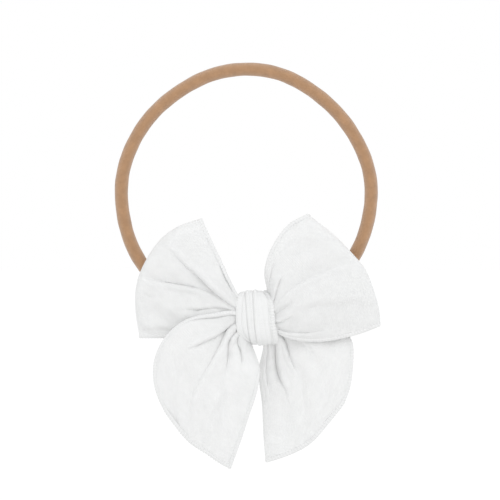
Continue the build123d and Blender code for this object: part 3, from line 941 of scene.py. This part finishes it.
def gathered_waist():
    """The pinched middle of the bow strip, a bundle of pleats inside the wrap, and its thread."""
    low, high = box_mm("gathered_waist")
    mid_y, half_y = (low[1] + high[1]) / 2, (high[1] - low[1]) / 2
    half_z = (high[2] - low[2]) / 2
    rows, cols = 60, 240
    run, t = np.meshgrid(np.linspace(0, 1, rows), np.linspace(0, 1, cols, endpoint=False), indexing="ij")
    wrap_low, wrap_high = box_mm("centre_wrap")
    wrap_half = (wrap_high[2] - wrap_low[2]) / 2
    right = periodic(WRAP_RIGHT, 0.5 - t) * wrap_half + 0.15
    left = np.maximum(low[0] + 0.4, periodic(WRAP_LEFT, 0.5 - t) * wrap_half - 0.1)
    c, s = np.cos(2 * np.pi * t), np.sin(2 * np.pi * t)
    inside = 3.2 * np.clip(c, 0, 1) ** 0.7
    x = left + inside + run * (right - left - 2 * inside)
    flare = np.minimum(0.78 + 0.24 * (x / high[0]) ** 2, 1.0)
    pleat = 1 - 0.07 * (1 + np.sin(2 * np.pi * t * WAIST_PLEATS + 0.5 * np.sin(0.7 * x)))
    y = mid_y + half_y * flare * pleat * rounded(c, 0.7)
    z = half_z * flare * pleat * rounded(s, 0.8)
    beside_band = smoothstep((np.abs(z) - 2.9) / 1.8)
    y = y + 3.4 * beside_band * np.clip(c, 0, 1) ** 0.5
    pos = np.stack([x, y, z], -1)
    across, axis = np.array([1, 0, 0]), np.array([0, mid_y, 0])
    pos = np.concatenate([pos[:1] * across + axis, pos, pos[-1:] * across + axis], 0)
    spans = np.linspace(0, 15, rows + 2), np.linspace(0, 50, cols + 1)
    uv = np.stack(np.meshgrid(*spans, indexing="ij"), -1)
    obj = surface("gathered_waist_bundle", pos, uv, wrap_v=True)
    dress(obj, WRAP_CLOTH, "white_cotton", "gathered_waist")
    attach(obj, "knot")
    turns = 3.6
    coil = np.linspace(0, turns, 360)
    c, s = np.cos(2 * np.pi * coil), np.sin(2 * np.pi * coil)
    path = np.stack([(coil / turns - 0.5) * 2.4,
                     mid_y + (half_y * 0.78 + 0.1) * rounded(c, 0.7),
                     (half_z * 0.78 + 0.1) * rounded(s, 0.8)], 1)
    thread(path, "cinch_thread_winding", 0.25, THREAD, "white_thread", "knot", "cinch_thread")


def thread(path, name, radius, material, slot, body, cad_node):
    """A twisted thread along a path: two plies wound round each other."""
    run = np.linalg.norm(np.diff(path, axis=0), axis=1).sum()
    count = int(run / 0.12)
    fine = even(path, count)
    ahead = tangents(fine)
    side = normalised(np.cross(ahead, np.array([0.3, 0.2, 0.93])))
    up = np.cross(ahead, side)
    twist = 2 * np.pi * np.linspace(0, run / (radius * 5), count)
    plies = []
    for k in range(2):
        phase = (twist + np.pi * k)[:, None]
        coil = fine + 0.5 * radius * (side * np.cos(phase) + up * np.sin(phase))
        plies.append(sweep(name + "_ply%d" % k, coil, side, up, 0.6 * radius, 0.6 * radius, ring=7))
    obj = join(name, plies)
    dress(obj, material, slot, cad_node)
    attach(obj, body)


def band_joint():
    """The whipping of tan thread where the band's two ends meet inside the knot."""
    low, high = box_mm("band_joint_thread")
    reach = (high[2] - low[2]) / 2 + 0.05
    turns = 4.0
    coil = np.linspace(0, turns, 400)
    path = np.stack([(coil / turns - 0.5) * 3.0,
                     (low[1] + high[1]) / 2 + reach * np.cos(2 * np.pi * coil),
                     (low[2] + high[2]) / 2 + reach * np.sin(2 * np.pi * coil)], 1)
    thread(path, "band_joint_whipping", 0.22, TAN_THREAD, "tan_thread", "band_lower", "band_joint_thread")


# Where the wrap's lap is sewn, in turns from the front middle over the top, and the stitches' number.
TACK_TURN = 0.41
TACK_COUNT = 6


def tacks():
    """Slanted hand stitches over the lap at the back of the wrap; their ends dip into the cloth."""
    t = np.linspace(-1, 1, 25)
    parts = []
    for across in np.linspace(0.12, 0.88, TACK_COUNT):
        x, y, z = wrap_point(TACK_TURN + 0.024 * t, across + 0.035 * t)
        path = np.stack([x, y + 0.66 - 0.6 * t**4, z + 0.12], 1)
        ahead = tangents(path)
        side = normalised(np.cross(ahead, np.array([0.0, 1.0, 0.0])))
        parts.append(sweep("tack", path, side, np.cross(ahead, side), 0.24, 0.2, ring=8))
    obj = join("wrap_tack_threads", parts)
    dress(obj, THREAD, "white_thread", "wrap_tack_stitches")
    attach(obj, "knot")


# ---------------------------------------------------------------- studio

def floor():
    """A pale matt floor that is almost as bright as the background."""
    low = Vector(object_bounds()[0])
    bpy.ops.mesh.primitive_plane_add(size=20, location=(0, 0, low.z - 0.002))
    obj = bpy.context.object
    obj.name = "floor"
    mat = bpy.data.materials.new("pale_floor")
    mat.use_nodes = True
    tree = mat.node_tree
    shader = tree.nodes["Principled BSDF"]
    shader.inputs["Base Color"].default_value = (0.9, 0.9, 0.9, 1)
    shader.inputs["Roughness"].default_value = 1.0
    shader.inputs["Specular IOR Level"].default_value = 0.0
    light = node(tree, "ShaderNodeEmission", Color=(1, 1, 1, 1), Strength=1.06)
    blend_shaders(tree, 0.86, shader.outputs[0], light.outputs[0], "Material Output")
    obj.data.materials.append(mat)
    obj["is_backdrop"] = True


def surroundings():
    """Even light from all round; the camera sees plain white."""
    world = bpy.data.worlds.new("studio")
    bpy.context.scene.world = world
    world.use_nodes = True
    tree = world.node_tree
    seen = tree.nodes["Background"]
    seen.inputs["Color"].default_value = (1, 1, 1, 1)
    seen.inputs["Strength"].default_value = 1.0
    around = node(tree, "ShaderNodeBackground", Color=(0.98, 0.99, 1.0, 1), Strength=1.04)
    camera_ray = tree.nodes.new("ShaderNodeLightPath").outputs["Is Camera Ray"]
    blend_shaders(tree, camera_ray, around.outputs[0], seen.outputs[0], "World Output")


def lamp(name, place, size, power):
    """A square soft light aimed at the bow."""
    light = bpy.data.lights.new(name, "AREA")
    light.size = size
    light.energy = power
    obj = bpy.data.objects.new(name, light)
    obj.location = place
    aim = Vector((0, -0.008, 0.0))
    obj.rotation_euler = (aim - Vector(place)).to_track_quat("-Z", "Y").to_euler()
    bpy.context.scene.collection.objects.link(obj)
    obj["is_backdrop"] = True


# The picture's width over the object's height, and where the camera aims: metres right of and above
# the object's middle, and the share of the way from its flat back to its front.
FRAME_OVER_HEIGHT = 1.227
AIM_RIGHT = 0.0010
AIM_UP = 0.0073
AIM_DEPTH = 0.38


def camera():
    """A long lens, level and straight in front of the bow."""
    cam = bpy.data.cameras.new("camera")
    cam.lens = 180
    cam.sensor_width = 36
    obj = bpy.data.objects.new("camera", cam)
    low, high = (Vector(c) for c in CAD_BOUNDS)
    centre = (low + high) / 2
    distance = FRAME_OVER_HEIGHT * (high.z - low.z) * cam.lens / cam.sensor_width
    target = Vector((centre.x + AIM_RIGHT, low.y * AIM_DEPTH, centre.z + AIM_UP))
    obj.location = target + Vector((0, -distance, 0))
    obj.rotation_euler = (math.pi / 2, 0, 0)
    bpy.context.scene.collection.objects.link(obj)
    bpy.context.scene.camera = obj
    bpy.context.scene.view_settings.view_transform = "Standard"


band()
left_loop()
right_loop()
left_tail()
right_tail()
centre_wrap()
gathered_waist()
band_joint()
tacks()
floor()
surroundings()
lamp("key", (0.25, -0.45, 0.50), 0.35, 0.8)
lamp("fill", (-0.5, -0.5, 0.15), 0.5, 0.3)
camera()
